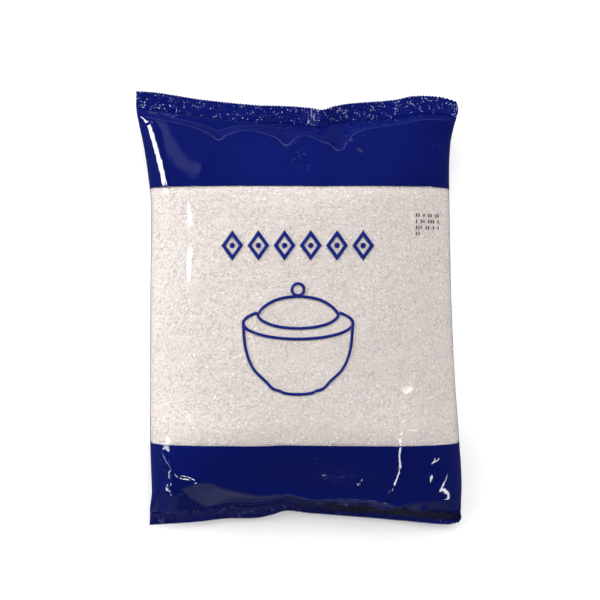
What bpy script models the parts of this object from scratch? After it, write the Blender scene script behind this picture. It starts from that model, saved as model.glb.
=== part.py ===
"""Pillow pack of granulated sugar, about one kilogram, lying on its back.

A film tube is filled with sugar and pressed flat into a crimped seal across each end.
Metres, +Z up, +Y towards the top seal. The origin is on the surface that the pack
lies on, under the middle of its outline.
"""

import math

import bmesh
import bpy
from mathutils import Vector

MM = 0.001

# Driving dimensions, in millimetres
END_Y = 119.0
NOMINAL_HALF_WIDTH = 90.0
PACK_THICKNESS = 45.0
SIDE_HEIGHT = 21.0
SEAL_THICKNESS = 1.0
TOP_SEAL_INNER_Y = 109.0
BOTTOM_SEAL_INNER_Y = -111.5
TOP_SEAL_HEIGHT = 14.0
BOTTOM_SEAL_HEIGHT = 11.0
BOTTOM_SEAL_DROOP = 5.0
TOP_BAND_Y = 68.0
BOTTOM_BAND_Y = -74.5

# How far the wavy ends and the flatter sections reach into the body
TOP_REACH_Y = 62.0
BOTTOM_REACH_Y = -64.0
SQUARE_SECTION_FROM_Y = 45.0
SQUARE_SECTION_BY_Y = 106.0
BODY_ROUNDNESS = 2.15
END_ROUNDNESS = 4.5
BACK_DEPTH = 26.0
BASE_BLEND = 2.5
BASE_FLAT_TO = 0.15

# The front climbs quickly from the seal to a ridge, then gently to its full height
TOP_RIDGE_SHARE = 0.42
TOP_CLIMB = 62.0
BOTTOM_RIDGE_SHARE = 0.70
BOTTOM_CLIMB = 50.0

# The back curves up to the seals more gently
BACK_RIDGE = 14.0
BACK_RIDGE_SHARE = 0.42
BACK_CLIMB = 52.0

# Side edges as (y, x) and end edges as (x, y)
LEFT_EDGE = (
    (-125.4, -86.8), (-113.0, -85.6), (-103.0, -84.4), (-55.0, -84.6), (10.0, -84.3),
    (60.0, -84.0), (76.0, -85.6), (92.0, -88.2), (104.0, -91.0), (114.0, -93.0), (124.0, -93.1),
)
RIGHT_EDGE = (
    (-125.2, 90.2), (-121.0, 93.2), (-116.0, 92.6), (-100.0, 92.4), (-70.0, 90.0), (-35.0, 87.6),
    (5.0, 85.9), (45.0, 85.0), (75.0, 84.6), (94.0, 85.6), (104.0, 87.8), (113.0, 90.4), (118.0, 89.4),
    (122.5, 85.2),
)
TOP_EDGE = (
    (-91.4, 124.5), (-78.0, 123.7), (-56.0, 120.5), (-42.0, 119.0), (-22.0, 117.1), (-3.0, 116.2),
    (8.0, 114.9), (14.0, 113.5), (21.0, 116.0), (31.0, 117.9), (57.0, 120.1), (70.0, 122.1),
    (84.0, 121.1), (90.0, 118.4),
)
BOTTOM_EDGE = (
    (-90.0, -124.7), (-65.0, -123.3), (-45.0, -121.2), (-29.0, -121.0), (-20.0, -119.0),
    (-11.0, -116.4), (3.0, -118.0), (25.0, -119.9), (61.0, -122.9), (84.0, -124.4), (90.0, -123.2),
)

# Distance from each seal to the ridge where the film turns onto the front, as (x, distance)
TOP_RIDGE = (
    (-90.0, 5.0), (-62.0, 5.5), (-45.0, 12.0), (-28.0, 5.5), (-6.0, 13.0), (7.0, 7.5),
    (22.0, 17.0), (48.0, 6.0), (90.0, 5.0),
)
BOTTOM_RIDGE = (
    (-90.0, 12.0), (-58.0, 17.0), (-40.0, 11.0), (-18.0, 8.0), (2.0, 4.5), (28.0, 7.0),
    (51.0, 4.0), (66.0, 8.0), (90.0, 11.0),
)

# Height of each seal's own waves above its level, as (x, lift)
TOP_SEAL_WAVE = (
    (-90.0, 2.5), (-70.0, 1.5), (-40.0, -1.5), (-12.0, -0.5), (4.0, 1.0), (14.0, 4.5),
    (24.0, 1.0), (50.0, -1.0), (76.0, 1.0), (90.0, 3.0),
)
BOTTOM_SEAL_WAVE = (
    (-90.0, 1.0), (-60.0, 0.0), (-30.0, -0.5), (-11.0, 1.5), (10.0, 0.0), (45.0, -1.0),
    (70.0, 0.0), (90.0, 1.5),
)

# Creases pressed out of the front film: start, end, height and reach to each side
CREASES = (
    ((-84.0, 103.0), (-73.5, 62.0), 1.6, 6.0),
    ((60.5, -36.0), (61.0, -90.0), 1.4, 9.0),
    ((61.0, -90.0), (55.0, -108.0), 2.0, 7.0),
    ((22.0, 98.0), (40.0, 74.0), 1.4, 7.0),
    ((-59.0, -93.0), (-30.0, -101.0), 1.5, 6.0),
    ((-73.0, -78.0), (-80.0, -104.0), 1.5, 6.0),
)

GRID_ACROSS = 50
GRID_ALONG = 56
BACK, FRONT = -1, 1


def smooth_step(value, start, end):
    """0 before start, 1 past end and an even turn between them; end may be under start."""
    share = min(max((value - start) / (end - start), 0.0), 1.0)
    return share * share * (3.0 - 2.0 * share)


def through_points(points, at):
    """Height at this place of a smooth curve through the points, which are in rising order."""
    at = min(max(at, points[0][0]), points[-1][0])
    index = 0
    while index < len(points) - 2 and at > points[index + 1][0]:
        index += 1
    (x0, y0), (x1, y1) = points[index], points[index + 1]
    before = points[max(index - 1, 0)]
    after = points[min(index + 2, len(points) - 1)]
    slope0 = (y1 - before[1]) / (x1 - before[0])
    slope1 = (after[1] - y0) / (after[0] - x0)
    span = x1 - x0
    part = (at - x0) / span
    bend0 = part * (1.0 - part) ** 2 * span * slope0
    bend1 = part**2 * (part - 1.0) * span * slope1
    return y0 + (y1 - y0) * part**2 * (3.0 - 2.0 * part) + bend0 + bend1


def outline_point(across, nominal_y):
    """Place in plan of a point of the film, across from -1 at the left side to 1 at the right."""
    nominal_x = across * NOMINAL_HALF_WIDTH
    top = smooth_step(nominal_y, TOP_REACH_Y, TOP_SEAL_INNER_Y)
    bottom = smooth_step(nominal_y, BOTTOM_REACH_Y, BOTTOM_SEAL_INNER_Y)
    y = nominal_y
    y += top * (through_points(TOP_EDGE, nominal_x) - END_Y)
    y += bottom * (through_points(BOTTOM_EDGE, nominal_x) + END_Y)
    left = through_points(LEFT_EDGE, y)
    right = through_points(RIGHT_EDGE, y)
    return left + (right - left) * (across + 1.0) / 2.0, y


def seam_height(nominal_x, nominal_y):
    """Height of the surface halfway between front and back, which holds the seals and sides."""
    top = smooth_step(nominal_y, TOP_REACH_Y, TOP_SEAL_INNER_Y)
    bottom = smooth_step(nominal_y, BOTTOM_REACH_Y, BOTTOM_SEAL_INNER_Y)
    droop = smooth_step(nominal_y, BOTTOM_SEAL_INNER_Y + 4.0, -END_Y)
    top_level = TOP_SEAL_HEIGHT + through_points(TOP_SEAL_WAVE, nominal_x)
    bottom_level = BOTTOM_SEAL_HEIGHT + through_points(BOTTOM_SEAL_WAVE, nominal_x)
    height = SIDE_HEIGHT + top * (top_level - SIDE_HEIGHT)
    height += bottom * (bottom_level - SIDE_HEIGHT)
    return height - droop * BOTTOM_SEAL_DROOP


def climb(distance, ridge, ridge_share, reach):
    """Share of the full height at this distance from a seal: a slope to the ridge, then a dome."""
    to_ridge = min(max(distance / ridge, 0.0), 1.0)
    past = min(max(distance / reach, 0.0), 1.0)
    slope = ridge_share * math.sin(to_ridge * math.pi / 2.0) ** 0.9
    dome = (1.0 - ridge_share) * math.sin(past * math.pi / 2.0)
    return slope + dome


def section_share(across, nominal_y):
    """Share of the middle's height at this place across: rounded amid the pack, squarer by a seal."""
    square = smooth_step(abs(nominal_y), SQUARE_SECTION_FROM_Y, SQUARE_SECTION_BY_Y)
    roundness = BODY_ROUNDNESS + square * (END_ROUNDNESS - BODY_ROUNDNESS)
    return math.sqrt(max(1.0 - abs(across) ** roundness, 0.0))


def crease_lift(x, y):
    """Height that the creases add to the front film."""
    lift = 0.0
    for start, end, height, reach in CREASES:
        along = Vector(end) - Vector(start)
        place = Vector((x, y)) - Vector(start)
        part = min(max(place.dot(along) / along.length_squared, 0.0), 1.0)
        gap = (place - along * part).length
        lift += height * math.exp(-gap / reach) * math.sin(math.pi * (0.15 + 0.7 * part))
    return lift


def above_base(height):
    """Height pressed flat where the back lies on the surface under it, with a soft turn."""
    if height > BASE_BLEND:
        return height
    if height < -BASE_BLEND:
        return 0.0
    return (height + BASE_BLEND) ** 2 / (4.0 * BASE_BLEND)


def film_point(across, nominal_y, side):
    """Point of the pack's outer surface, in metres."""
    x, y = outline_point(across, nominal_y)
    nominal_x = across * NOMINAL_HALF_WIDTH
    from_top = TOP_SEAL_INNER_Y - nominal_y
    from_bottom = nominal_y - BOTTOM_SEAL_INNER_Y
    section = section_share(across, nominal_y)
    seam = seam_height(nominal_x, nominal_y)
    if side == FRONT:
        top_ridge = through_points(TOP_RIDGE, nominal_x)
        bottom_ridge = through_points(BOTTOM_RIDGE, nominal_x)
        top = climb(from_top, top_ridge, TOP_RIDGE_SHARE, TOP_CLIMB)
        bottom = climb(from_bottom, bottom_ridge, BOTTOM_RIDGE_SHARE, BOTTOM_CLIMB)
        fullness = top * bottom * section
        rise = PACK_THICKNESS - SIDE_HEIGHT - SEAL_THICKNESS / 2.0
        lift = crease_lift(x, y) * min(fullness * 2.0, 1.0)
        return Vector((x, y, seam + SEAL_THICKNESS / 2.0 + rise * fullness + lift)) * MM
    top = climb(from_top, BACK_RIDGE, BACK_RIDGE_SHARE, BACK_CLIMB)
    bottom = climb(from_bottom, BACK_RIDGE, BACK_RIDGE_SHARE, BACK_CLIMB)
    depth = BACK_DEPTH * top * bottom * section
    height = above_base(seam - SEAL_THICKNESS / 2.0 - depth)
    if height < BASE_FLAT_TO:
        height = 0.0
    return Vector((x, y, height)) * MM


def spread_across(share):
    """Place across for an even step of the grid, closer together at the rounded sides."""
    return math.sin(math.pi / 2.0 * (2.0 * share - 1.0)) * 0.55 + (2.0 * share - 1.0) * 0.45


def spread_along(share):
    """Nominal y for an even step of the grid, closer together at the seals."""
    even = 2.0 * share - 1.0
    return END_Y * (0.45 * math.sin(math.pi / 2.0 * even) + 0.55 * even)


def subdivide_along(mesh, axis, cuts):
    """Cuts every edge that runs along this axis of the box."""
    other = [a for a in range(3) if a != axis]
    edges = [
        edge
        for edge in mesh.edges
        if all(abs(edge.verts[0].co[a] - edge.verts[1].co[a]) < 1e-6 for a in other)
    ]
    bmesh.ops.subdivide_edges(mesh, edges=edges, cuts=cuts, use_grid_fill=True)


def material(name, colour, roughness):
    made = bpy.data.materials.new(name)
    made.use_nodes = True
    shader = made.node_tree.nodes["Principled BSDF"]
    shader.inputs["Base Color"].default_value = (*colour, 1.0)
    shader.inputs["Roughness"].default_value = roughness
    shader.inputs["Metallic"].default_value = 0.0
    return made


def build_pack(collection):
    """A cube whose top and bottom are gridded and whose every point is moved onto the film."""
    mesh = bmesh.new()
    bmesh.ops.create_cube(mesh, size=1.0)
    subdivide_along(mesh, 0, GRID_ACROSS - 1)
    subdivide_along(mesh, 1, GRID_ALONG - 1)
    for vertex in mesh.verts:
        side = FRONT if vertex.co.z > 0.0 else BACK
        across = spread_across(vertex.co.x + 0.5)
        vertex.co = film_point(across, spread_along(vertex.co.y + 0.5), side)

    low = [min(v.co[axis] for v in mesh.verts) for axis in range(2)]
    high = [max(v.co[axis] for v in mesh.verts) for axis in range(2)]
    middle = Vector(((low[0] + high[0]) / 2.0, (low[1] + high[1]) / 2.0, 0.0))
    bmesh.ops.translate(mesh, verts=mesh.verts, vec=-middle)
    bmesh.ops.recalc_face_normals(mesh, faces=mesh.faces)

    for face in mesh.faces:
        centre = face.calc_center_median() + middle
        printed = centre.y > TOP_BAND_Y * MM or centre.y < BOTTOM_BAND_Y * MM
        face.material_index = 0 if printed else 1
        face.smooth = True

    data = bpy.data.meshes.new("sugar_pack")
    mesh.to_mesh(data)
    print("pack volume in litres:", round(mesh.calc_volume() * 1000.0, 3))
    mesh.free()
    data.set_sharp_from_angle(angle=math.radians(50.0))
    data.materials.append(material("printed_blue_film", (0.006, 0.011, 0.14), 0.22))
    data.materials.append(material("sugar_behind_clear_film", (0.72, 0.67, 0.63), 0.3))
    pack = bpy.data.objects.new("sugar_pack", data)
    collection.objects.link(pack)
    return pack


def main():
    for old in list(bpy.data.objects):
        bpy.data.objects.remove(old)
    collection = bpy.data.collections.new("bag_of_sugar")
    bpy.context.scene.collection.children.link(collection)
    build_pack(collection)


main()
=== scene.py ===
# A kilogram of sugar in a clear pillow pack with blue printed ends, lying on its back.
import math

import bmesh
import bpy
import numpy as np
from mathutils import Matrix, Vector


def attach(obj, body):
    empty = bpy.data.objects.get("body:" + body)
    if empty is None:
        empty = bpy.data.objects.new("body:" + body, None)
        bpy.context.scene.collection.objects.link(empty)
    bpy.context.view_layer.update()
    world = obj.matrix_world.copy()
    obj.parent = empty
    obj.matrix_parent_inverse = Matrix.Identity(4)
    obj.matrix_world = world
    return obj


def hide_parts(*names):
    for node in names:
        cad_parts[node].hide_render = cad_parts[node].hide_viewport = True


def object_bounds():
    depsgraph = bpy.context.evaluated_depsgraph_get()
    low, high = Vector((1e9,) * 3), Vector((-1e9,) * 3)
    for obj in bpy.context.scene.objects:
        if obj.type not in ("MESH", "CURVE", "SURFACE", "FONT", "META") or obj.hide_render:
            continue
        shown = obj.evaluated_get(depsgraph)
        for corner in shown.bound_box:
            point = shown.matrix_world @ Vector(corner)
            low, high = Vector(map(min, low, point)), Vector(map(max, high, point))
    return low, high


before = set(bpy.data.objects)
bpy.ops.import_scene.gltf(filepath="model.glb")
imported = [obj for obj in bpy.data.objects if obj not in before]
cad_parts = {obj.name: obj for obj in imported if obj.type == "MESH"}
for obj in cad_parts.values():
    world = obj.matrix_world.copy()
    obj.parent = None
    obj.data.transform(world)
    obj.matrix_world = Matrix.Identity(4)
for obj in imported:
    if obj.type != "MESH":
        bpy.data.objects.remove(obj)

cadLow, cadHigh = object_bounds()
mm = 0.001


# Shape of the film, in millimetres, across from -1 at the left side to 1 at the right

shape = {
    "endY": 119.0,  # nominal place of both cut edges
    "halfWidth": 90.0,
    "thickness": (cadHigh.z - cadLow.z) / mm,
    "sideHeight": 21.0,
    "sealThickness": 0.3,
    "topSealY": 109.0,  # inner edge of each seal
    "bottomSealY": -111.5,
    "topSealHeight": 14.0,
    "bottomSealHeight": 11.0,
    "bottomSealDroop": 5.0,
    "topReachY": 62.0,  # how far the wavy ends reach into the body
    "bottomReachY": -64.0,
    "squareFromY": 45.0,
    "squareByY": 106.0,
    "bodyRoundness": 2.15,
    "endRoundness": 4.5,
    "backDepth": 26.0,
    "baseHeight": 0.45,  # room for the back seam under the flat of the back
    "baseBlend": 2.5,
}
topClimb = {"share": 0.42, "reach": 62.0}  # quick climb from the seal to a ridge, then a gentle dome
bottomClimb = {"share": 0.70, "reach": 50.0}
backClimb = {"share": 0.42, "reach": 52.0, "ridge": 14.0}

leftEdge = (  # y, x
    (-125.4, -86.8), (-113.0, -85.6), (-103.0, -84.4), (-55.0, -84.6), (10.0, -84.3),
    (60.0, -84.0), (76.0, -85.6), (92.0, -88.2), (104.0, -91.0), (114.0, -93.0), (124.0, -93.1),
)
rightEdge = (
    (-125.2, 90.2), (-121.0, 93.2), (-116.0, 92.6), (-100.0, 92.4), (-70.0, 90.0), (-35.0, 87.6),
    (5.0, 85.9), (45.0, 85.0), (75.0, 84.6), (94.0, 85.6), (104.0, 87.8), (113.0, 90.4), (118.0, 89.4),
    (122.5, 85.2),
)
topEdge = (  # x, y
    (-91.4, 124.5), (-78.0, 123.7), (-56.0, 120.5), (-42.0, 119.0), (-22.0, 117.1), (-3.0, 116.2),
    (8.0, 114.9), (14.0, 113.5), (21.0, 116.0), (31.0, 117.9), (57.0, 120.1), (70.0, 122.1),
    (84.0, 121.1), (90.0, 118.4),
)
bottomEdge = (
    (-90.0, -124.7), (-65.0, -123.3), (-45.0, -121.2), (-29.0, -121.0), (-20.0, -119.0),
    (-11.0, -116.4), (3.0, -118.0), (25.0, -119.9), (61.0, -122.9), (84.0, -124.4), (90.0, -123.2),
)
topRidge = (  # x, distance from the seal to the ridge
    (-90.0, 5.0), (-76.0, 7.0), (-60.0, 8.0), (-49.0, 11.5), (-45.0, 14.5), (-41.0, 11.0), (-28.0, 6.5),
    (-12.0, 10.0), (-6.0, 15.0), (-1.0, 10.0), (7.0, 8.0), (19.0, 13.5), (25.0, 20.0), (31.0, 11.0),
    (40.0, 7.5), (58.0, 5.5), (90.0, 4.5),
)
bottomRidge = (
    (-90.0, 12.0), (-72.0, 15.0), (-57.0, 18.5), (-48.0, 14.0), (-38.0, 11.0), (-20.0, 7.5), (2.0, 4.0),
    (28.0, 6.0), (44.0, 5.0), (50.5, 3.5), (58.0, 6.0), (70.0, 8.5), (90.0, 10.0),
)
topSealWave = (  # x, lift of the seal
    (-90.0, 2.5), (-70.0, 1.5), (-40.0, -1.5), (-12.0, -0.5), (4.0, 1.0), (14.0, 4.5),
    (24.0, 1.0), (50.0, -1.0), (76.0, 1.0), (90.0, 3.0),
)
bottomSealWave = (
    (-90.0, 1.0), (-60.0, 0.0), (-30.0, -0.5), (-11.0, 1.5), (10.0, 0.0), (45.0, -1.0),
    (70.0, 0.0), (90.0, 1.5),
)
creases = (  # places along a fold that stands out of the front, its height, and its reach to each side
    (((22.0, 99.0), (34.0, 84.0), (46.0, 72.0)), 1.1, 5.0),
    (((52.0, 100.0), (60.0, 88.0)), 0.6, 3.5),
    (((-57.0, -94.0), (-40.0, -99.5), (-21.0, -102.0), (2.0, -106.0)), 1.4, 4.5),
    (((-80.0, -76.0), (-70.0, -90.0), (-57.0, -94.0)), 1.2, 4.5),
    (((-57.0, -94.0), (-49.0, -105.0)), 0.8, 3.0),
    (((-45.0, 93.0), (-52.0, 84.0), (-56.0, 72.0)), 0.7, 4.0),
    (((-6.0, 91.0), (-10.0, 78.0)), 0.6, 4.0),
    (((68.0, -107.0), (80.0, -98.0), (86.0, -84.0)), 1.0, 4.0),
)


def smoothStep(value, start, end):
    share = np.clip((value - start) / (end - start), 0.0, 1.0)
    return share * share * (3.0 - 2.0 * share)


def throughPoints(points, at):  # smooth curve through points in rising order
    places, heights = np.array(points).T
    spread = np.concatenate(([places[0]], places, [places[-1]]))
    rise = np.concatenate(([heights[0]], heights, [heights[-1]]))
    slopes = (rise[2:] - rise[:-2]) / (spread[2:] - spread[:-2])
    at = np.clip(at, places[0], places[-1])
    index = np.clip(np.searchsorted(places, at, side="right") - 1, 0, len(places) - 2)
    span = places[index + 1] - places[index]
    part = (at - places[index]) / span
    bend = part * (1.0 - part) ** 2 * span * slopes[index]
    bend += part**2 * (part - 1.0) * span * slopes[index + 1]
    step = part**2 * (3.0 - 2.0 * part)
    return heights[index] + (heights[index + 1] - heights[index]) * step + bend


def planOf(across, nominalY):  # x and y of a point of the film
    nominalX = across * shape["halfWidth"]
    y = nominalY + smoothStep(nominalY, shape["topReachY"], shape["topSealY"]) * (
        throughPoints(topEdge, nominalX) - shape["endY"]
    )
    y = y + smoothStep(nominalY, shape["bottomReachY"], shape["bottomSealY"]) * (
        throughPoints(bottomEdge, nominalX) + shape["endY"]
    )
    left, right = throughPoints(leftEdge, y), throughPoints(rightEdge, y)
    return left + (right - left) * (across + 1.0) / 2.0, y


def seamHeight(across, nominalY):  # halfway between front and back
    nominalX = across * shape["halfWidth"]
    side = shape["sideHeight"]
    top = smoothStep(nominalY, shape["topReachY"], shape["topSealY"])
    bottom = smoothStep(nominalY, shape["bottomReachY"], shape["bottomSealY"])
    droop = smoothStep(nominalY, shape["bottomSealY"] + 4.0, -shape["endY"])
    height = side + top * (shape["topSealHeight"] + throughPoints(topSealWave, nominalX) - side)
    height += bottom * (shape["bottomSealHeight"] + throughPoints(bottomSealWave, nominalX) - side)
    return height - droop * shape["bottomSealDroop"]


def climb(distance, ridge, form):
    toRidge = np.clip(distance / ridge, 0.0, 1.0)
    past = np.clip(distance / form["reach"], 0.0, 1.0)
    slope = form["share"] * (0.45 * np.sin(toRidge * math.pi / 2.0) + 0.55 * toRidge)
    return slope + (1.0 - form["share"]) * np.sin(past * math.pi / 2.0)


def creaseLift(x, y):
    lift = np.zeros_like(x)
    for places, height, reach in creases:
        nearest, alongNearest = np.full_like(x, 1e9), np.zeros_like(x)
        for index, (start, end) in enumerate(zip(places, places[1:])):
            alongX, alongY = end[0] - start[0], end[1] - start[1]
            share = ((x - start[0]) * alongX + (y - start[1]) * alongY) / (alongX**2 + alongY**2)
            part = np.clip(share, 0.0, 1.0)
            gap = np.hypot(x - start[0] - alongX * part, y - start[1] - alongY * part)
            alongNearest = np.where(gap < nearest, (index + part) / (len(places) - 1), alongNearest)
            nearest = np.minimum(nearest, gap)
        lift += height * np.exp(-nearest / reach) * np.sin(math.pi * (0.12 + 0.76 * alongNearest))
    return lift


def aboveBase(height):
    blend = shape["baseBlend"]
    soft = (np.clip(height, -blend, blend) + blend) ** 2 / (4.0 * blend)
    return np.where(height > blend, height, soft)


def filmPoints(across, nominalY, isFront):  # outer surface, in millimetres
    nominalX = across * shape["halfWidth"]
    x, y = planOf(across, nominalY)
    fromTop = shape["topSealY"] - nominalY
    fromBottom = nominalY - shape["bottomSealY"]
    square = smoothStep(np.abs(nominalY), shape["squareFromY"], shape["squareByY"])
    roundness = shape["bodyRoundness"] + square * (shape["endRoundness"] - shape["bodyRoundness"])
    section = np.sqrt(np.clip(1.0 - np.abs(across) ** roundness, 0.0, 1.0))
    seam = seamHeight(across, nominalY)
    halfSeal = shape["sealThickness"] / 2.0

    front = climb(fromTop, throughPoints(topRidge, nominalX), topClimb) * section
    front = front * climb(fromBottom, throughPoints(bottomRidge, nominalX), bottomClimb)
    rise = shape["thickness"] - shape["sideHeight"] - halfSeal
    frontZ = seam + halfSeal + rise * front + creaseLift(x, y) * np.clip(front * 2.0, 0.0, 1.0)

    back = climb(fromTop, backClimb["ridge"], backClimb) * section
    back = back * climb(fromBottom, backClimb["ridge"], backClimb)
    base = shape["baseHeight"]
    backZ = base + aboveBase(seam - halfSeal - shape["backDepth"] * back - base)
    return np.stack([x, y, np.where(isFront, frontZ, backZ)], axis=-1)


# The film as a tube of even cells: columns run round it from the left side over the front

grid = {
    "cellsAcross": 174,  # on the front, and as many on the back
    "bandTopY": 68.0,  # where the print ends and the clear window starts
    "bandBottomY": -74.5,
    "windowRows": 136,
    "topBandRows": 60,
    "bottomBandRows": 54,
    "creasePlaces": ((-0.86, 0.14), (0.62, 0.07)),  # across, and its reach
}


def evenAcross(count):  # places across that are an even length of film apart, closer at the creases
    fine = np.linspace(-1.0, 1.0, 4001)
    height = np.sqrt(1.0 - np.abs(fine) ** shape["bodyRoundness"])
    rise = (shape["thickness"] - shape["sideHeight"]) / shape["halfWidth"]
    steps = np.hypot(np.diff(fine), rise * np.diff(height))
    for place, reach in grid["creasePlaces"]:
        steps *= 1.0 + 0.9 * np.exp(-(((fine[1:] - place) / reach) ** 4))
    length = np.concatenate(([0.0], np.cumsum(steps)))
    return np.interp(np.linspace(0.0, length[-1], count + 1), length, fine)


def tubeRows():
    bottom = np.linspace(shape["bottomSealY"], grid["bandBottomY"], grid["bottomBandRows"] + 1)
    window = np.linspace(grid["bandBottomY"], grid["bandTopY"], grid["windowRows"] + 1)
    top = np.linspace(grid["bandTopY"], shape["topSealY"], grid["topBandRows"] + 1)
    return np.concatenate((bottom[:-1], window, top[1:]))


def tubeOf(rows, cellsAcross):
    places = evenAcross(cellsAcross)
    across = np.concatenate((places[:-1], places[:0:-1]))
    isFront = np.arange(len(across)) <= cellsAcross
    rowGrid, acrossGrid = np.meshgrid(rows, across, indexing="ij")
    return filmPoints(acrossGrid, rowGrid, isFront[None, :])


def tubeNormals(points):  # outward, from the neighbours round and along the tube
    around = np.roll(points, -1, axis=1) - np.roll(points, 1, axis=1)
    normal = np.cross(around, np.gradient(points, axis=0))
    return normal / np.maximum(np.linalg.norm(normal, axis=-1, keepdims=True), 1e-9)


# Thin film can't stretch, so where it has length to spare it lifts off the sugar in folds

relax = {
    "coarseSteps": 260,
    "fineSteps": 90,
    "bending": 0.06,
    "settle": 0.01,  # share of its lift that the film loses in a step
    "sinkLimit": 0.1,
    "liftLimit": 2.6,
    "driftLimit": 2.0,
    "diagonalPull": 0.35,
    "startNoise": 0.25,
    "noiseCell": 6.0,
    "evenSlack": 0.001,  # spare length everywhere, as a share
}
slackPlaces = (  # x, y, reach, spare length there as a share, and whether it is the front's
    (-73.0, -88.0, 11.0, 0.030, True),
    (-60.0, -93.0, 8.0, 0.025, True),
    (-70.0, 84.0, 10.0, 0.012, True),
    (-52.0, 84.0, 14.0, 0.010, True),
    (27.0, 86.0, 16.0, 0.016, True),
    (34.0, -92.0, 8.0, 0.020, True),
    (60.0, -48.0, 7.0, 0.020, True),
    (81.0, -92.0, 9.0, 0.030, True),
    (82.0, 100.0, 8.0, 0.020, True),
    (-66.0, 20.0, 16.0, 0.008, True),
    (-60.0, 88.0, 18.0, 0.020, False),
    (50.0, 84.0, 22.0, 0.016, False),
    (-48.0, -88.0, 20.0, 0.020, False),
    (62.0, -84.0, 16.0, 0.020, False),
    (0.0, 92.0, 20.0, 0.015, False),
)


def spareLength(points):
    spare = np.full(points.shape[:2], relax["evenSlack"])
    half = points.shape[1] // 2
    for x, y, reach, share, isFront in slackPlaces:
        near = np.exp(-((points[..., 0] - x) ** 2 + (points[..., 1] - y) ** 2) / (2.0 * reach**2))
        near[:, half + 1:] *= not isFront
        near[:, 1:half] *= isFront
        spare += share * near
    return spare[..., None]


def latticeNoise(points, cell, seed):  # smooth noise from -1 to 1 at points in millimetres
    where = points / cell
    base = np.floor(where).astype(int)
    part = where - base
    part = part * part * (3.0 - 2.0 * part)
    total = np.zeros(points.shape[:-1])
    for corner in np.ndindex(2, 2, 2):
        at = base + np.array(corner)
        mixed = (at[..., 0] * 73856093) ^ (at[..., 1] * 19349663) ^ (at[..., 2] * 83492791) ^ (seed * 2654435)
        mixed = (mixed ^ (mixed >> 13)) * 1274126177 & 0x7FFFFFFF
        weight = np.prod(np.where(np.array(corner) == 1, part, 1.0 - part), axis=-1)
        total += weight * ((mixed % 20011) / 10005.0 - 1.0)
    return total


def pullPairs(first, second, rest, share):  # views of the same array, moved in place
    gap = second - first
    length = np.maximum(np.linalg.norm(gap, axis=-1, keepdims=True), 1e-6)
    move = gap * (0.5 * share * (1.0 - rest / length))
    first += move
    second -= move


def gapLength(first, second):
    return np.linalg.norm(second - first, axis=-1, keepdims=True)


def keepLengths(points, rest):
    for odd in (0, 1):
        rolled = np.roll(points, -odd, axis=1)
        pullPairs(rolled[:, 0::2], rolled[:, 1::2], np.roll(rest["across"], -odd, axis=1)[:, 0::2], 1.0)
        points[:] = np.roll(rolled, odd, axis=1)
    for odd in (0, 1):
        lower, upper = points[odd:-1:2], points[odd + 1::2]
        pullPairs(lower, upper, rest["along"][odd::2], 1.0)
        for turn in (1, -1):
            turned = np.roll(upper, turn, axis=1)
            pullPairs(lower, turned, rest[turn][odd::2], relax["diagonalPull"])
            upper[:] = np.roll(turned, -turn, axis=1)


def smoothBends(points, share):  # takes out waves of a cell or two and leaves wide ones
    def unevenness(field):
        around = np.roll(field, 1, axis=1) + np.roll(field, -1, axis=1)
        padded = np.concatenate((field[:1], field, field[-1:]))
        return (around + padded[:-2] + padded[2:]) / 4.0 - field
    points -= share * unevenness(unevenness(points))


def settleFilm(start, steps, points):
    normals = tubeNormals(start)
    spare = 1.0 + spareLength(start)
    rest = {"across": gapLength(start, np.roll(start, -1, axis=1)) * spare,
            "along": gapLength(start[:-1], start[1:]) * spare[:-1]}
    for turn in (1, -1):
        rest[turn] = gapLength(start[:-1], np.roll(start, turn, axis=1)[1:]) * spare[:-1]
    for step in range(steps):
        keepLengths(points, rest)
        smoothBends(points, relax["bending"])
        away = points - start
        lift = (away * normals).sum(axis=-1, keepdims=True)
        drift = away - lift * normals
        reach = np.linalg.norm(drift, axis=-1, keepdims=True)
        drift *= np.minimum(1.0, relax["driftLimit"] / np.maximum(reach, 1e-6))
        lift = np.clip(lift * (1.0 - relax["settle"]), -relax["sinkLimit"], relax["liftLimit"])
        points[1:-1] = (start + drift + lift * normals)[1:-1]
        points[0], points[-1] = start[0], start[-1]
        points[..., 2] = np.maximum(points[..., 2], shape["baseHeight"])
    return points


def doubled(points):  # twice the rows and columns, through the same points
    def between(before, low, high, after):
        return (9.0 * (low + high) - before - after) / 16.0
    columns = np.empty((points.shape[0], 2 * points.shape[1], 3))
    columns[:, 0::2] = points
    columns[:, 1::2] = between(*(np.roll(points, turn, axis=1) for turn in (1, 0, -1, -2)))
    padded = np.concatenate((2 * columns[:1] - columns[1:2], columns, 2 * columns[-1:] - columns[-2:-1]))
    both = np.empty((2 * columns.shape[0] - 1, columns.shape[1], 3))
    both[0::2] = columns
    both[1::2] = between(padded[:-3], padded[1:-2], padded[2:-1], padded[3:])
    return both


rows = tubeRows()
filled = tubeOf(rows, grid["cellsAcross"])
filledNormals = tubeNormals(filled)
coarse = filled[::2, ::2].copy()
startLift = relax["startNoise"] * (1.0 + latticeNoise(coarse, relax["noiseCell"], 3))
coarse += tubeNormals(coarse) * startLift[..., None]
coarse = settleFilm(filled[::2, ::2], relax["coarseSteps"], coarse)
film = settleFilm(filled, relax["fineSteps"], doubled(coarse))
placesAcross = evenAcross(grid["cellsAcross"])


def nominalOf(across, y):  # undoes the waviness of the ends
    nominalY = np.array(y, float)
    for turn in range(12):
        nominalY = nominalY + y - planOf(across, nominalY)[1]
    return nominalY


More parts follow.
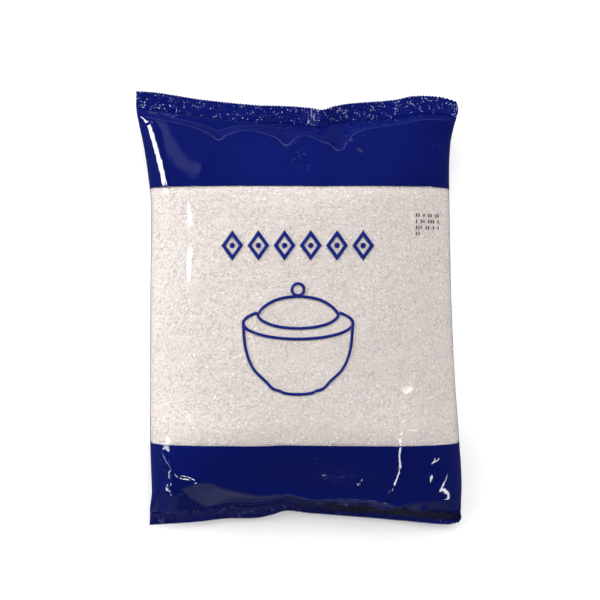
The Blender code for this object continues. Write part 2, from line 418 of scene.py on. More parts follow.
def onFilm(x, y, lift=0.0):  # points of the front film over x and y
    left, right = throughPoints(leftEdge, y), throughPoints(rightEdge, y)
    across = 2.0 * (x - left) / (right - left) - 1.0
    column = np.interp(across, placesAcross, np.arange(len(placesAcross)))
    row = np.interp(nominalOf(across, y), rows, np.arange(len(rows)))
    lowRow = np.clip(np.floor(row).astype(int), 0, len(rows) - 2)
    lowColumn = np.clip(np.floor(column).astype(int), 0, grid["cellsAcross"] - 1)
    rowPart, columnPart = (row - lowRow)[..., None], (column - lowColumn)[..., None]
    total = 0.0
    for array, share in ((film, 1.0), (filmNormals, lift)):
        lower, upper = (
            array[rowUsed, lowColumn] * (1 - columnPart) + array[rowUsed, lowColumn + 1] * columnPart
            for rowUsed in (lowRow, lowRow + 1)
        )
        total = total + share * (lower * (1 - rowPart) + upper * rowPart)
    return total


# Sharp folds, which stand on the settled film

folds = (  # ends of a crest as x, y and lift, how much it rises away to left and right, and how far
    ((-73.9, 46.0, 0.2), (-74.6, 54.0, 0.9), -1.2, 0.45, 3.4),
    ((-74.6, 54.0, 0.9), (-75.8, 64.0, 1.5), -1.3, 0.50, 3.6),
    ((-75.8, 64.0, 1.5), (-80.1, 83.0, 1.6), -1.6, 0.50, 4.0),
    ((-80.1, 83.0, 1.6), (-84.7, 98.5, 1.4), -1.6, 0.50, 3.6),
    ((-84.7, 98.5, 1.4), (-86.3, 103.2, 1.1), -1.6, 0.50, 3.2),
    ((53.7, -60.0, 0.5), (53.7, -66.0, 2.1), -0.35, -0.50, 3.1),
    ((53.7, -75.0, 1.2), (53.7, -66.0, 2.1), -0.35, -0.50, 3.1),
    ((54.1, -87.0, 1.2), (53.7, -75.0, 1.2), -0.35, -0.50, 3.1),
    ((51.0, -97.6, 1.3), (54.2, -88.5, 1.0), -0.35, -0.62, 2.8),
    ((49.2, -107.0, 0.4), (51.0, -97.6, 1.3), -0.35, -0.62, 2.8),
    ((70.6, -100.0, 0.7), (71.6, -91.5, 1.0), -0.3, -0.50, 2.8),
    ((70.5, -84.0, 0.7), (74.5, -80.8, 0.8), -0.1, -0.50, 2.6),
    ((75.8, -99.5, 0.5), (79.0, -96.0, 0.6), -0.2, -0.60, 2.4),
    ((33.5, -96.5, 0.4), (35.5, -92.5, 0.5), -0.3, -0.50, 1.8),
    ((-72.0, -103.0, 2.6), (-70.9, -96.0, 1.7), -0.54, 0.0, 4.6),
    ((-70.9, -96.0, 1.7), (-71.3, -89.5, 0.4), -0.52, 0.0, 2.4),
)
foldForm = {
    "stray": 0.09,  # how far the crests stray, and how often
    "strayCell": 2.6,
    "edgeDrop": 0.7,  # how steeply a fold ends
    "blend": 0.15,
}


def foldHeight(x, y):
    best = np.full_like(x, -1e3)
    flat = np.stack([x, y, np.zeros_like(x)], axis=-1)
    x = x + foldForm["stray"] * latticeNoise(flat, foldForm["strayCell"], 41)
    for start, end, leftRise, rightRise, reach in folds:
        ends = np.array([start, end])
        heights = onFilm(ends[:, 0], ends[:, 1])[:, 2] + ends[:, 2]
        alongX, alongY = end[0] - start[0], end[1] - start[1]
        length = math.hypot(alongX, alongY)
        along = ((x - start[0]) * alongX + (y - start[1]) * alongY) / length
        side = ((x - start[0]) * alongY - (y - start[1]) * alongX) / length
        part = np.clip(along / length, 0.0, 1.0)
        flank = np.where(side > 0.0, rightRise, leftRise) * np.abs(side)
        past = np.maximum(0.0, np.maximum(-along, along - length)) + np.maximum(0.0, np.abs(side) - reach)
        crest = heights[0] + (heights[1] - heights[0]) * part
        best = np.maximum(best, crest + flank - foldForm["edgeDrop"] * past)
    return best


def softMax(first, second, blend):
    share = np.clip(0.5 + 0.5 * (first - second) / blend, 0.0, 1.0)
    return second + (first - second) * share + 0.5 * blend * share * (1.0 - share)


filmNormals = tubeNormals(film)
frontPart = (slice(2, -2), slice(2, grid["cellsAcross"] - 1))
front = film[frontPart]
front[..., 2] = softMax(foldHeight(front[..., 0], front[..., 1]), front[..., 2], foldForm["blend"])
filmNormals = tubeNormals(film)
lift = ((film - filled) * filledNormals).sum(axis=-1)
print("film lifted up to", round(float(lift.max()), 2), "mm, mean", round(float(lift.mean()), 2))


# Mesh and node helpers

def addObject(name, mesh, material, slotName=None):
    made = bpy.data.objects.new(name, mesh)
    bpy.context.scene.collection.objects.link(made)
    mesh.materials.clear()
    mesh.materials.append(material)
    mesh.polygons.foreach_set("use_smooth", [True] * len(mesh.polygons))
    if slotName:
        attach(made, "root")
    return made


def meshFrom(name, points, faces):  # points in millimetres
    mesh = bpy.data.meshes.new(name)
    mesh.from_pydata((np.asarray(points) * mm).tolist(), [], np.asarray(faces).tolist())
    mesh.validate()
    return mesh


def ringFaces(rowCount, columnCount, start=0, flip=False):
    row = np.arange(rowCount - 1)[:, None] * columnCount
    column = np.arange(columnCount)[None, :]
    nextColumn = (column + 1) % columnCount
    quads = np.stack([row + column, row + nextColumn, row + columnCount + nextColumn,
                      row + columnCount + column], axis=-1).reshape(-1, 4) + start
    return quads[:, ::-1] if flip else quads


def rimFaces(outer, inner, flip=False):  # joins two rings of point numbers
    quads = np.stack([outer, np.roll(outer, -1), np.roll(inner, -1), inner], axis=-1)
    return quads[:, ::-1] if flip else quads


def endRows(start, columnCount, last):  # front and back point numbers of one row of a tube
    over = start + np.arange(last + 1)
    return over, start + np.concatenate(([0], np.arange(columnCount - 1, last, -1), [last]))


def tubeWall(name, points, normals, wall):  # closed wall of film between two rims
    rowCount, columnCount = points.shape[:2]
    count = rowCount * columnCount
    inner = points - normals * wall
    ring = np.arange(columnCount)
    faces = np.concatenate([
        ringFaces(rowCount, columnCount),
        ringFaces(rowCount, columnCount, start=count, flip=True),
        rimFaces(ring, ring + count, flip=True),
        rimFaces(ring + count - columnCount, ring + 2 * count - columnCount),
    ])
    every = np.concatenate([points.reshape(-1, 3), inner.reshape(-1, 3)])
    return meshFrom(name, every, faces)


def newMaterial(name):
    made = bpy.data.materials.new(name)
    made.use_nodes = True
    made.node_tree.nodes.clear()
    return made, NodeBoard(made.node_tree)


class NodeBoard:  # adds nodes to one tree and links them
    def __init__(self, tree):
        self.tree = tree

    def add(self, kind, settings=None, **inputs):  # an input named i and a number is taken by its place
        node = self.tree.nodes.new(kind)
        for key, value in (settings or {}).items():
            setattr(node, key, value)
        for key, value in inputs.items():
            numbered = key[0] == "i" and key[1:].isdigit()
            socket = node.inputs[int(key[1:]) if numbered else key]
            if isinstance(value, bpy.types.NodeSocket):
                self.tree.links.new(value, socket)
            else:
                socket.default_value = value
        return node

    def place(self):
        return self.add("ShaderNodeTexCoord").outputs["Object"]

    def noise(self, place, scale, detail):
        return self.add("ShaderNodeTexNoise", Vector=place, Scale=scale, Detail=detail).outputs["Fac"]

    def math(self, operation, *values):
        inputs = {f"i{index}": value for index, value in enumerate(values)}
        return self.add("ShaderNodeMath", {"operation": operation}, **inputs).outputs["Value"]

    def ranged(self, value, given=(0.0, 1.0), wanted=(0.0, 1.0), kind="LINEAR"):
        limits = dict(zip(("From Min", "From Max", "To Min", "To Max"), given + wanted))
        node = self.add("ShaderNodeMapRange", {"interpolation_type": kind}, Value=value, **limits)
        return node.outputs["Result"]

    def mixed(self, share, first, second):
        node = self.add("ShaderNodeMix", {"data_type": "RGBA"}, Factor=share, A=first, B=second)
        return node.outputs["Result"]

    def surface(self, baseColour, **inputs):
        shader = self.add("ShaderNodeBsdfPrincipled", **{"Base Color": baseColour}, **inputs)
        self.add("ShaderNodeOutputMaterial", Surface=shader.outputs["BSDF"])


def colour(*levels):  # from red, green and blue as the eye reads them, from 0 to 255
    parts = [level / 255.0 for level in levels]
    return (*(part / 12.92 if part <= 0.04045 else ((part + 0.055) / 1.055) ** 2.4 for part in parts), 1.0)


# Shared effects

def filmRippleGroup():  # fine waves of thin film, as a normal
    group = bpy.data.node_groups.new("filmRipple", "ShaderNodeTree")
    for name, value in (("Scale", 90.0), ("Strength", 0.2), ("Distance", 0.0004)):
        group.interface.new_socket(name, in_out="INPUT", socket_type="NodeSocketFloat").default_value = value
    group.interface.new_socket("Normal", in_out="INPUT", socket_type="NodeSocketVector").hide_value = True
    group.interface.new_socket("Normal", in_out="OUTPUT", socket_type="NodeSocketVector")
    group.interface.new_socket("Value", in_out="OUTPUT", socket_type="NodeSocketFloat")
    board = NodeBoard(group)
    taken = board.add("NodeGroupInput").outputs
    waves = board.noise(board.place(), taken["Scale"], 3.0)
    bump = board.add("ShaderNodeBump", Height=waves, Strength=taken["Strength"], Distance=taken["Distance"],
                     Normal=taken["Normal"])
    board.add("NodeGroupOutput", Normal=bump.outputs["Normal"], Value=waves)
    return group


filmRipple = filmRippleGroup()


def addRipple(board, scale, strength, distance, **inputs):
    return board.add("ShaderNodeGroup", {"node_tree": filmRipple}, Scale=scale, Strength=strength,
                     Distance=distance, **inputs).outputs


paintedGapShade = {  # painted shade: a dark band painted on the film where the right half of the bulge overhangs the bottom seal, in metres
    "height": -0.1125,
    "slant": 0.075,
    "half": 0.0042,  # where it has faded out above and below, and where it is full
    "full": 0.0012,
    "alongX": (-0.012, 0.03),
    "colour": colour(3, 5, 24),
    "share": 0.85,
}


def paintedGapShadeMask(board, place):  # mask of the painted shade in the gap, from 0 to its share
    axes = board.add("ShaderNodeSeparateXYZ", Vector=place).outputs
    level = board.math("MULTIPLY_ADD", axes["X"], paintedGapShade["slant"], axes["Y"])
    away = board.math("ABSOLUTE", board.math("SUBTRACT", level, paintedGapShade["height"]))
    near = board.ranged(away, (paintedGapShade["half"], paintedGapShade["full"]), kind="SMOOTHSTEP")
    along = board.ranged(axes["X"], paintedGapShade["alongX"], (0.0, paintedGapShade["share"]), "SMOOTHSTEP")
    return board.math("MULTIPLY", near, along)


def printedFilmMaterial(name, look):
    made, board = newMaterial(name)
    wide = addRipple(board, 70.0, 0.3, 0.0006)
    fine = addRipple(board, look["fineScale"], look["fineStrength"], 0.0002, Normal=wide["Normal"])
    place = board.place()
    ink = board.mixed(board.noise(place, 22.0, 2.0), look["deep"], look["bright"])
    # light specks in patches: partly scuffs of the film, partly painted glints; on the crimped seals they are
    # painted sparkle
    cells = board.add("ShaderNodeTexVoronoi", Vector=place, Scale=look["speckScale"]).outputs["Distance"]
    patches = board.ranged(board.noise(place, look["patchScale"], 3.0), look["patchRange"])
    scuffAndGlintShare = board.math("MULTIPLY", board.ranged(cells, (0.30, 0.18)), patches)
    scuffAndGlint = board.mixed(scuffAndGlintShare, ink, look["scuffAndGlint"])
    # painted shade: the film is darkened where the bulge overhangs the bottom seal
    board.surface(board.mixed(paintedGapShadeMask(board, place), scuffAndGlint, paintedGapShade["colour"]), IOR=1.5,
                  Roughness=board.ranged(wide["Value"], wanted=look["roughness"]), Normal=fine["Normal"])
    return made


def clearFilmMaterial():
    made, board = newMaterial("clearFilm")
    rippled = addRipple(board, 60.0, 0.3, 0.0005)["Normal"]
    facing = board.add("ShaderNodeLayerWeight", Blend=0.5, Normal=rippled).outputs["Facing"]
    gloss = board.ranged(board.math("POWER", facing, 4.0), wanted=(0.04, 0.6))
    through = board.add("ShaderNodeBsdfTransparent", Color=(0.99, 0.99, 0.985, 1.0))
    shine = board.add("ShaderNodeBsdfGlossy", Roughness=0.06, Normal=rippled)
    both = board.add("ShaderNodeMixShader", i0=gloss, i1=through.outputs["BSDF"], i2=shine.outputs["BSDF"])
    board.add("ShaderNodeOutputMaterial", Surface=both.outputs["Shader"])
    return made


def sugarMaterial():
    made, board = newMaterial("packedSugar")
    place = board.place()
    grains = board.add("ShaderNodeTexVoronoi", Vector=place, Scale=1300.0).outputs
    speck = board.ranged(grains["Color"], wanted=(0.0, 0.55))
    share = board.math("MULTIPLY_ADD", board.noise(place, 55.0, 3.0), 0.5, speck)
    bump = board.add("ShaderNodeBump", Height=grains["Distance"], Strength=0.6, Distance=0.0004)
    board.surface(board.mixed(share, colour(216, 205, 202), colour(242, 232, 230)), Roughness=0.45,
                  Normal=bump.outputs["Normal"])
    return made


def crystalMaterial():
    made, board = newMaterial("sugarCrystal")
    share = board.ranged(board.noise(board.place(), 700.0, 1.0), (0.58, 0.66))
    board.surface(board.mixed(share, colour(222, 213, 210), colour(243, 235, 232)), **{
        "Roughness": 0.06,
        "IOR": 1.6,
        # painted glint: the brightest crystals glow a little in place of sparkle off their faces
        "Emission Strength": board.math("MULTIPLY", share, 0.25),
        "Emission Color": colour(255, 252, 248),
        "Subsurface Weight": 0.4,
        "Subsurface Scale": 0.001,
    })
    return made


def inkMaterial(name, deep, bright):
    made, board = newMaterial(name)
    ripple = addRipple(board, 160.0, 0.2, 0.0003)
    board.surface(board.mixed(ripple["Value"], deep, bright), Roughness=0.25, Normal=ripple["Normal"])
    return made


bandLook = {"deep": colour(6, 13, 76), "bright": colour(9, 21, 92), "scuffAndGlint": colour(50, 62, 140),
            "speckScale": 420.0, "patchScale": 40.0, "patchRange": (0.62, 0.8), "fineScale": 260.0,
            "fineStrength": 0.35, "roughness": (0.03, 0.09)}
# on the crimped seals the near-white specks are painted glints off the crimp
sealLook = {"deep": colour(6, 13, 78), "bright": colour(12, 24, 104), "scuffAndGlint": colour(205, 212, 235),
            "speckScale": 1000.0, "patchScale": 330.0, "patchRange": (0.5, 0.62), "fineScale": 700.0,
            "fineStrength": 0.9, "roughness": (0.06, 0.16)}
# painted shade: a darker copy of the seal's film with dimmer specks, for the bottom seal that lies in the
# shade of the bulge
shadedSealLook = {**sealLook, "deep": colour(5, 10, 66), "bright": colour(11, 20, 108),
               "scuffAndGlint": colour(150, 158, 205), "patchRange": (0.54, 0.66)}
printedFilm = printedFilmMaterial("printedBlueFilm", bandLook)
topCrimpedFilm = printedFilmMaterial("crimpedBlueFilm", sealLook)
bottomCrimpedFilmShaded = printedFilmMaterial("crimpedBlueFilmPaintedShade", shadedSealLook)
clearFilm = clearFilmMaterial()
packedSugar = sugarMaterial()
sugarCrystal = crystalMaterial()
navyInk = inkMaterial("navyInk", colour(10, 20, 96), colour(22, 36, 122))
blackInk = inkMaterial("blackInk", colour(22, 20, 22), colour(48, 44, 44))
print("materials made")


# Film pieces

filmWall = 0.08
bottomBandEnd = grid["bottomBandRows"]
topBandStart = bottomBandEnd + grid["windowRows"]
segments = (
    ("bottom_band", slice(0, bottomBandEnd + 1), printedFilm, "printed_film"),
    ("clear_window", slice(bottomBandEnd, topBandStart + 1), clearFilm, "clear_film"),
    ("top_band", slice(topBandStart, len(rows)), printedFilm, "printed_film"),
)
for name, part, material, slotName in segments:
    mesh = tubeWall(name, film[part], filmNormals[part], filmWall)
    addObject(name, mesh, material, slotName)
print("film pieces made")


# Crimped seals with zigzag cut edges

seal = {"cellsAcross": 432, "rows": 30, "cellsPerTooth": 4, "rowsPerCrimp": 4, "toothDepth": 0.45,
        "crimpHeight": 0.10, "roughHeight": 0.22, "roughCell": 1.5}


def zigzag(count, period):  # from -1 to 1 and back
    return np.abs((np.arange(count) % period) / period - 0.5) * 4.0 - 1.0


def sealSlab(name, innerY, outerY):
    places = np.linspace(-1.0, 1.0, seal["cellsAcross"] + 1)
    sealRows = np.linspace(innerY, outerY, seal["rows"] + 1)
    rowGrid, acrossGrid = np.meshgrid(sealRows, places, indexing="ij")
    front = filmPoints(acrossGrid, rowGrid, True)
    back = filmPoints(acrossGrid, rowGrid, False)
    towardsEdge = np.linspace(0.0, 1.0, seal["rows"] + 1)[:, None]
    wave = zigzag(seal["cellsAcross"] + 1, seal["cellsPerTooth"])[None, :]
    crimp = zigzag(seal["rows"] + 1, seal["rowsPerCrimp"])[:, None]
    rough = latticeNoise(front, seal["roughCell"], 17)
    rough += 0.6 * latticeNoise(front, 3.0 * seal["roughCell"], 23)
    relief = seal["crimpHeight"] * (crimp + 0.5 * wave) + seal["roughHeight"] * rough
    relief *= smoothStep(towardsEdge, 0.02, 0.12)
    tooth = seal["toothDepth"] * wave * (towardsEdge > 0.999) * np.sign(outerY)
    for layer in (front, back):
        layer[..., 1] += tooth
        layer[..., 2] += relief
    back[..., 2] = np.minimum(back[..., 2], front[..., 2] - shape["sealThickness"])
    loop = np.concatenate([front, back[:, -2:0:-1]], axis=1)
    loop = loop if outerY > innerY else loop[::-1]
    rowCount, columnCount = loop.shape[:2]
    faces = [ringFaces(rowCount, columnCount)]
    last = seal["cellsAcross"]
    for start, flip in ((0, False), ((rowCount - 1) * columnCount, True)):
        over, under = endRows(start, columnCount, last)
        cap = np.stack([over[:-1], under[:-1], under[1:], over[1:]], axis=-1)
        faces.append(cap[:, ::-1] if flip else cap)
    return meshFrom(name, loop.reshape(-1, 3), np.concatenate(faces))


for name, innerY, outerY, material in (
    ("top_seal", shape["topSealY"], shape["endY"], topCrimpedFilm),
    ("bottom_seal", shape["bottomSealY"], -shape["endY"], bottomCrimpedFilmShaded),
):
    addObject(name, sealSlab(name, innerY, outerY), material, "printed_film")
print("seals made")


# Sugar inside the film

core = {"gap": 0.6, "relief": 0.12, "reliefCell": 2.1, "lowestY": -105.0, "highestY": 102.0}


def sugarCore():
    inside = (rows > core["lowestY"]) & (rows < core["highestY"])
    points = filled[inside] - filledNormals[inside] * core["gap"]
    relief = core["relief"] * latticeNoise(points, core["reliefCell"], 5)
    points += filledNormals[inside] * relief[..., None]
    rowCount, columnCount = points.shape[:2]
    faces = [ringFaces(rowCount, columnCount)]
    half = columnCount // 2
    for start, flip in ((0, False), ((rowCount - 1) * columnCount, True)):
        over, under = endRows(start, columnCount, half)
        cap = np.stack([over[:-1], under[:-1], under[1:], over[1:]], axis=-1)[1:-1]
        ends = np.array([[over[0], under[1], over[1]], [over[-1], over[-2], under[-2]]])
        faces += [(part[:, ::-1] if flip else part) for part in (cap, ends)]
    every = [face for part in faces for face in part.tolist()]
    mesh = bpy.data.meshes.new("sugar")
    mesh.from_pydata((points.reshape(-1, 3) * mm).tolist(), [], every)
    mesh.validate()
    return mesh


sugar = addObject("sugar", sugarCore(), packedSugar, "sugar")
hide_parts("sugar_pack")
print("sugar made")


# Loose crystals on the sugar, just under the film

crystals = {"perSquareMetre": 600000.0, "small": 0.5, "large": 1.0, "sunk": 0.22, "margin": 4.0}


def scatterTree():
    tree = bpy.data.node_groups.new("scatterCrystals", "GeometryNodeTree")
    tree.interface.new_socket("Geometry", in_out="INPUT", socket_type="NodeSocketGeometry")
    for name in ("Density", "Smallest", "Largest"):
        tree.interface.new_socket(name, in_out="INPUT", socket_type="NodeSocketFloat")
    tree.interface.new_socket("Seed", in_out="INPUT", socket_type="NodeSocketInt")
    tree.interface.new_socket("Material", in_out="INPUT", socket_type="NodeSocketMaterial")
    tree.interface.new_socket("Geometry", in_out="OUTPUT", socket_type="NodeSocketGeometry")
    board = NodeBoard(tree)
    taken = board.add("NodeGroupInput").outputs
    spots = board.add("GeometryNodeDistributePointsOnFaces", Mesh=taken["Geometry"], Density=taken["Density"],
                      Seed=taken["Seed"])
    block = board.add("GeometryNodeMeshCube", Size=(1.0, 0.82, 0.66))
    turn = board.add("FunctionNodeRandomValue", {"data_type": "FLOAT_VECTOR"}, Seed=taken["Seed"])
    turn.inputs["Max"].default_value = (2.0 * math.pi,) * 3
    size = board.add("FunctionNodeRandomValue", {"data_type": "FLOAT"}, Seed=taken["Seed"])
    tree.links.new(taken["Smallest"], size.inputs[2])
    tree.links.new(taken["Largest"], size.inputs[3])
    placed = board.add("GeometryNodeInstanceOnPoints", Points=spots.outputs["Points"],
                       Instance=block.outputs["Mesh"], Scale=size.outputs[1])
    tree.links.new(turn.outputs[0], placed.inputs["Rotation"])
    joined = board.add("GeometryNodeRealizeInstances", Geometry=placed.outputs["Instances"])
    painted = board.add("GeometryNodeSetMaterial", Geometry=joined.outputs["Geometry"],
                        Material=taken["Material"])
    put = board.add("NodeGroupOutput")
    tree.links.new(painted.outputs["Geometry"], put.inputs["Geometry"])
    return tree


scatter = scatterTree()


def gridFaces(rowCount, columnCount):
    low = (np.arange(rowCount - 1)[:, None] * columnCount + np.arange(columnCount - 1)[None, :]).reshape(-1)
    return np.stack([low, low + 1, low + columnCount + 1, low + columnCount], axis=-1)


def addCrystals(name, columns, seed):
    margin = crystals["margin"]
    shown = (rows > grid["bandBottomY"] - margin) & (rows < grid["bandTopY"] + margin)
    ground = (filled - filledNormals * (core["gap"] + crystals["sunk"]))[shown][:, columns]
    mesh = meshFrom("ground", ground.reshape(-1, 3), gridFaces(*ground.shape[:2]))
    holder = bpy.data.objects.new("ground", mesh)
    bpy.context.scene.collection.objects.link(holder)
    modifier = holder.modifiers.new("scatter", "NODES")
    modifier.node_group = scatter
    values = {"Density": crystals["perSquareMetre"], "Smallest": crystals["small"] * mm,
              "Largest": crystals["large"] * mm, "Seed": seed, "Material": sugarCrystal}
    for socket in scatter.interface.items_tree:
        if socket.in_out == "INPUT" and socket.name in values:
            modifier[socket.identifier] = values[socket.name]
    bpy.context.view_layer.update()
    made = bpy.data.meshes.new_from_object(holder.evaluated_get(bpy.context.evaluated_depsgraph_get()))
    bpy.data.objects.remove(holder)
    made.name = name
    piece = addObject(name, made, sugarCrystal, "sugar")
    made.polygons.foreach_set("use_smooth", [False] * len(made.polygons))
    print(name, len(made.polygons) // 6, "crystals")
    return piece


frontColumns = slice(2, grid["cellsAcross"] - 1)
backColumns = slice(grid["cellsAcross"] + 2, 2 * grid["cellsAcross"] - 1)
addCrystals("crystals_front", frontColumns, 1)
addCrystals("crystals_front_more", frontColumns, 2)
addCrystals("crystals_back", backColumns, 3)


# Seam down the back, where the film was joined into a tube

backSeam = {"left": -8.0, "right": 4.0, "under": 0.03, "thickness": 0.26, "cells": 12}


def addBackSeam():
    across = np.linspace(backSeam["left"], backSeam["right"], backSeam["cells"] + 1) / shape["halfWidth"]
    column = 2 * grid["cellsAcross"] - np.interp(across, placesAcross, np.arange(len(placesAcross)))
    low = np.floor(column).astype(int)
    part = (column - low)[None, :, None]
    points = film[:, low] * (1 - part) + film[:, low + 1] * part
    normals = filmNormals[:, low] * (1 - part) + filmNormals[:, low + 1] * part
    for name, rowsUsed, material, slotName in segments:
        inner = points[rowsUsed] + normals[rowsUsed] * backSeam["under"]
        outer = inner + normals[rowsUsed] * backSeam["thickness"]
        loop = np.concatenate([outer, inner[:, ::-1]], axis=1)
        rowCount, columnCount = loop.shape[:2]
        half = columnCount // 2
        over = np.arange(half)
        under = columnCount - 1 - over
        cap = np.stack([over[:-1], over[1:], under[1:], under[:-1]], axis=-1)
        last = (rowCount - 1) * columnCount
        faces = np.concatenate([ringFaces(rowCount, columnCount, flip=True), cap, cap[:, ::-1] + last])
        mesh = meshFrom("seam_" + name, loop.reshape(-1, 3), faces)
        addObject("seam_" + name, mesh, material, slotName)


addBackSeam()
print("back seam made")


# Print on the front of the film

def lengthsAlong(path):
    return np.concatenate(([0.0], np.cumsum(np.linalg.norm(np.diff(path, axis=0), axis=1))))


class InkSheet:  # collects flat print and lays it on the film
    def __init__(self):
        self.points, self.faces = [], []

    def patch(self, flat):  # grid of flat points, rows by columns by two
        start = sum(len(points) for points in self.points)
        self.points.append(flat.reshape(-1, 2))
        self.faces += (gridFaces(*flat.shape[:2]) + start).tolist()

    def stroke(self, path, width, step=0.7):  # ribbon along a path
        path = np.array(path, float)
        lengths = lengthsAlong(path)
        count = max(2, int(lengths[-1] / step) + 1)
        along = np.linspace(0.0, lengths[-1], count)
        line = np.stack([np.interp(along, lengths, path[:, axis]) for axis in (0, 1)], axis=-1)
        heading = np.gradient(line, axis=0)
        heading /= np.maximum(np.linalg.norm(heading, axis=1, keepdims=True), 1e-9)
        sideways = np.stack([heading[:, 1], -heading[:, 0]], axis=-1) * width / 2.0
        self.patch(np.stack([line - sideways, line, line + sideways], axis=1))

    def lay(self, name, material, thickness=0.05, lift=0.03):
        flat = np.concatenate(self.points)
        mesh = meshFrom(name, onFilm(flat[:, 0], flat[:, 1], lift), self.faces)
        work = bmesh.new()
        work.from_mesh(mesh)
        bmesh.ops.remove_doubles(work, verts=work.verts, dist=0.02 * mm)
        for face in work.faces:
            if face.normal.z < 0.0:
                face.normal_flip()
        bmesh.ops.solidify(work, geom=work.faces, thickness=-thickness * mm)
        bmesh.ops.recalc_face_normals(work, faces=work.faces)
        work.to_mesh(mesh)
        work.free()
        return addObject(name, mesh, material, "printed_film")


def arc(centreX, centreY, radiusX, radiusY, fromDegrees, toDegrees, count=90):
    angle = np.radians(np.linspace(fromDegrees, toDegrees, count))
    return np.stack([centreX + radiusX * np.cos(angle), centreY + radiusY * np.sin(angle)], axis=-1)


ornament = {"count": 6, "left": -44.0, "right": 42.0, "middleY": 35.2, "halfHeight": 8.4, "line": 2.4,
            "dot": 1.5}
bowl = {  # places are measured from the middle of the rim
    "middle": (-0.8, -7.3),
    "line": 1.6,
    "rimHalfWidth": 30.0,
    "rimHalfDepth": 8.6,
    "lidHalfWidth": 22.0,
    "lidRise": 5.0,
    "lidDrop": 7.8,
    "lidSide": ((-19.0, 8.6), (-11.5, 12.9), (0.0, 14.6)),
    "knob": 3.3,
    "side": ((30.0, -0.6), (28.6, -14.0), (24.6, -24.6), (17.2, -32.2), (13.6, -35.8), (9.0, -37.2)),
}
dateMark = {
    "left": 64.6,
    "top": 53.2,
    "rowPitch": 3.4,
    "pitch": 1.4,
    "height": 1.8,
    "dot": 0.55,
    "pattern": ("1101011011", "1011011101", "1110110101", "110"),
}


def layOrnament():
    sheet = InkSheet()
    pitch = (ornament["right"] - ornament["left"]) / ornament["count"]
    halfWidth, halfHeight = pitch * 0.42, ornament["halfHeight"]
    corners = np.array([(halfWidth, 0), (0, halfHeight), (-halfWidth, 0), (0, -halfHeight), (halfWidth, 0)])
    share = np.linspace(0.0, 4.0, 49)
    outline = np.stack([np.interp(share, range(5), corners[:, axis]) for axis in (0, 1)], axis=-1)
    ring = np.linspace(1.0 - ornament["line"] / halfWidth, 1.0, 4)[:, None, None] * outline
    dot = np.linspace(0.02, 1.0, 4)[:, None, None] * arc(0, 0, ornament["dot"], ornament["dot"], 0, 360, 25)
    for index in range(ornament["count"]):
        middle = np.array([ornament["left"] + (index + 0.5) * pitch, ornament["middleY"]])
        sheet.patch(ring + middle)
        sheet.patch(dot + middle)
    return sheet.lay("ornament_row", navyInk)


def curveThrough(places, count=70):  # smooth line through points
    places = np.array(places, float)
    reached = lengthsAlong(places)
    at = np.linspace(0.0, reached[-1], count)
    return np.stack([throughPoints(list(zip(reached, places[:, axis])), at) for axis in (0, 1)], axis=-1)


def layBowl():
    sheet = InkSheet()
    middle, rimY = bowl["middle"]
    line, half, depth = bowl["line"], bowl["rimHalfWidth"], bowl["rimHalfDepth"]
    lidHalf, lidDrop = bowl["lidHalfWidth"], bowl["lidDrop"]
    lidY = rimY + bowl["lidRise"]
    meeting = math.degrees(math.acos(lidHalf * 1.02 / half))
    sheet.stroke(arc(middle, rimY, half, depth, 180.0 - meeting, 360.0 + meeting, 220), line)
    lid = [(-lidHalf, lidY), *((x, rimY + y) for x, y in bowl["lidSide"])]
    lid += [(-x, y) for x, y in lid[::-1]][1:]
    sheet.stroke(curveThrough([(middle + x, y) for x, y in lid], 120), line)
    sheet.stroke(arc(middle, lidY, lidHalf, lidDrop, 180, 360), line)
    knobY = lid[len(lid) // 2][1] + bowl["knob"] + line * 0.3
    sheet.stroke(arc(middle, knobY, bowl["knob"], bowl["knob"], 0, 360, 60), line)
    for side in (-1, 1):
        sheet.stroke(curveThrough([(middle + side * x, rimY + y) for x, y in bowl["side"]]), line)
    sheet.stroke(arc(middle, rimY + bowl["side"][-1][1], bowl["side"][-1][0], 1.6, 180, 360), line)
    return sheet.lay("bowl_figure", navyInk)


def layDateMark():
    sheet = InkSheet()
    dot = dateMark["dot"]
    for rowIndex, pattern in enumerate(dateMark["pattern"]):
        y = dateMark["top"] - rowIndex * dateMark["rowPitch"]
        for index, mark in enumerate(pattern):
            if mark == "1":
                x = dateMark["left"] + index * dateMark["pitch"]
                sheet.stroke([(x, y), (x, y - dateMark["height"])], dot)
    return sheet.lay("date_mark", blackInk)


layOrnament()
layBowl()
layDateMark()
print("print laid")


# Floor, light and camera

def addFloor():
    made, board = newMaterial("paleFloor")
    cloud = board.noise(board.place(), 3.0, 2.0)
    board.surface(board.mixed(cloud, (0.92, 0.92, 0.92, 1.0), (0.94, 0.94, 0.94, 1.0)), Roughness=0.8, **{
        "Emission Color": (1.0, 1.0, 1.0, 1.0),
        "Emission Strength": 0.2,
    })
    corners = [(-3000, -3000, 0), (3000, -3000, 0), (3000, 3000, 0), (-3000, 3000, 0)]
    floor = addObject("floor", meshFrom("floor", corners, [(0, 1, 2, 3)]), made)
    floor.visible_glossy = False


def addLight(name, place, longWay, size, power, mirrored):
    light = bpy.data.lights.new(name, "AREA")
    light.shape = "RECTANGLE"
    light.size, light.size_y = size
    light.energy = power
    made = bpy.data.objects.new(name, light)
    bpy.context.scene.collection.objects.link(made)
    back = Vector(place).normalized()
    across = (Vector(longWay) - back * back.dot(Vector(longWay))).normalized()
    made.rotation_euler = Matrix((across, back.cross(across), back)).transposed().to_euler()
    made.location = place
    made.visible_glossy = mirrored


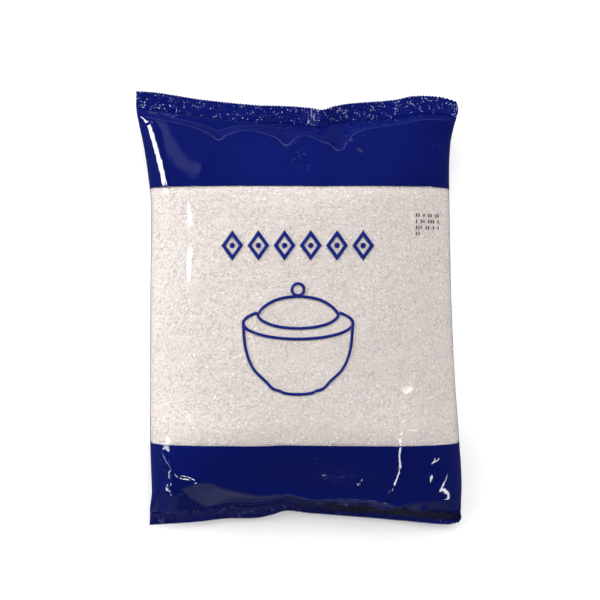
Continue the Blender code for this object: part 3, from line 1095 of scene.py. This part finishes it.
lights = (  # name, place, direction of its first side, size, watts, whether it shows in reflections
    ("wideLeft", (-1.5, 1.0, 1.2), (0, 1, 0), (2.2, 1.6), 13.5, False),
    ("wideRight", (0.9, 0.5, 1.5), (0, 1, 0), (2.0, 1.6), 16.5, False),
    ("wideTop", (0.0, 0.8, 0.85), (1, 0, 0), (1.6, 1.0), 12.5, False),
    ("lampLeft", (-0.87, 0.07, 1.06), (0, 1, 0), (0.05, 0.07), 0.10, True),
    ("windowLeft", (-1.20, 0.53, 0.45), (-0.063, 0.255, -0.23), (0.80, 0.20), 12.0, True),
    ("lampLowLeft", (-1.15, -0.56, 0.54), (0.06, -0.39, -0.21), (0.50, 0.14), 3.0, True),
    ("spotLowLeft", (-0.60, -1.22, 0.33), (1, 0, 0), (0.12, 0.17), 2.0, True),
    ("spotLowRight", (0.04, -1.27, 0.59), (1, 0, 0), (0.10, 0.05), 0.25, True),
    ("stripRight", (0.95, -0.88, 0.37), (-0.16, -0.41, -0.24), (0.70, 0.12), 4.0, True),
    ("spotRight", (0.77, -0.13, 1.13), (0, 1, 0), (0.035, 0.11), 0.08, True),
    ("stripTop", (0.0, 1.4, 0.30), (1, 0, 0), (1.8, 0.14), 1.2, True),
)
studioGlow = (  # soft light that only reflections show: direction, cosines of its start and full, power
    ((-0.46, 0.59, 0.66), 0.972, 0.998, 0.55),
    ((-0.28, -0.93, -0.23), 0.84, 0.97, 0.20),
)


def addWorld():
    world = bpy.data.worlds.new("studio")
    bpy.context.scene.world = world
    world.use_nodes = True
    world.node_tree.nodes.clear()
    board = NodeBoard(world.node_tree)
    direction = board.add("ShaderNodeTexCoord").outputs["Generated"]
    height = board.add("ShaderNodeSeparateXYZ", Vector=direction).outputs["Z"]
    strength = board.ranged(height, (0.1, 0.9), (0.07, 0.02))
    for facing, start, end, power in studioGlow:
        toward = board.add("ShaderNodeVectorMath", {"operation": "DOT_PRODUCT"}, i0=direction, i1=facing)
        glow = board.ranged(toward.outputs["Value"], (start, end), (0.0, power), "SMOOTHSTEP")
        strength = board.math("ADD", strength, glow)
    back = board.add("ShaderNodeBackground", Color=(0.94, 0.96, 1.0, 1.0), Strength=strength)
    board.add("ShaderNodeOutputWorld", Surface=back.outputs["Background"])


def addCamera():
    view = {"x": 0.28, "y": 5.35, "height": 650.0, "plane": 24.0, "framed": 338.0}
    camera = bpy.data.cameras.new("camera")
    camera.sensor_width = 36.0
    camera.lens = camera.sensor_width * view["height"] / view["framed"]
    made = bpy.data.objects.new("camera", camera)
    bpy.context.scene.collection.objects.link(made)
    made.location = (view["x"] * mm, view["y"] * mm, (view["plane"] + view["height"]) * mm)
    bpy.context.scene.camera = made


addFloor()
for light in lights:
    addLight(*light)
addWorld()
addCamera()
bpy.context.scene.view_settings.view_transform = "Standard"
print("floor, light and camera set")
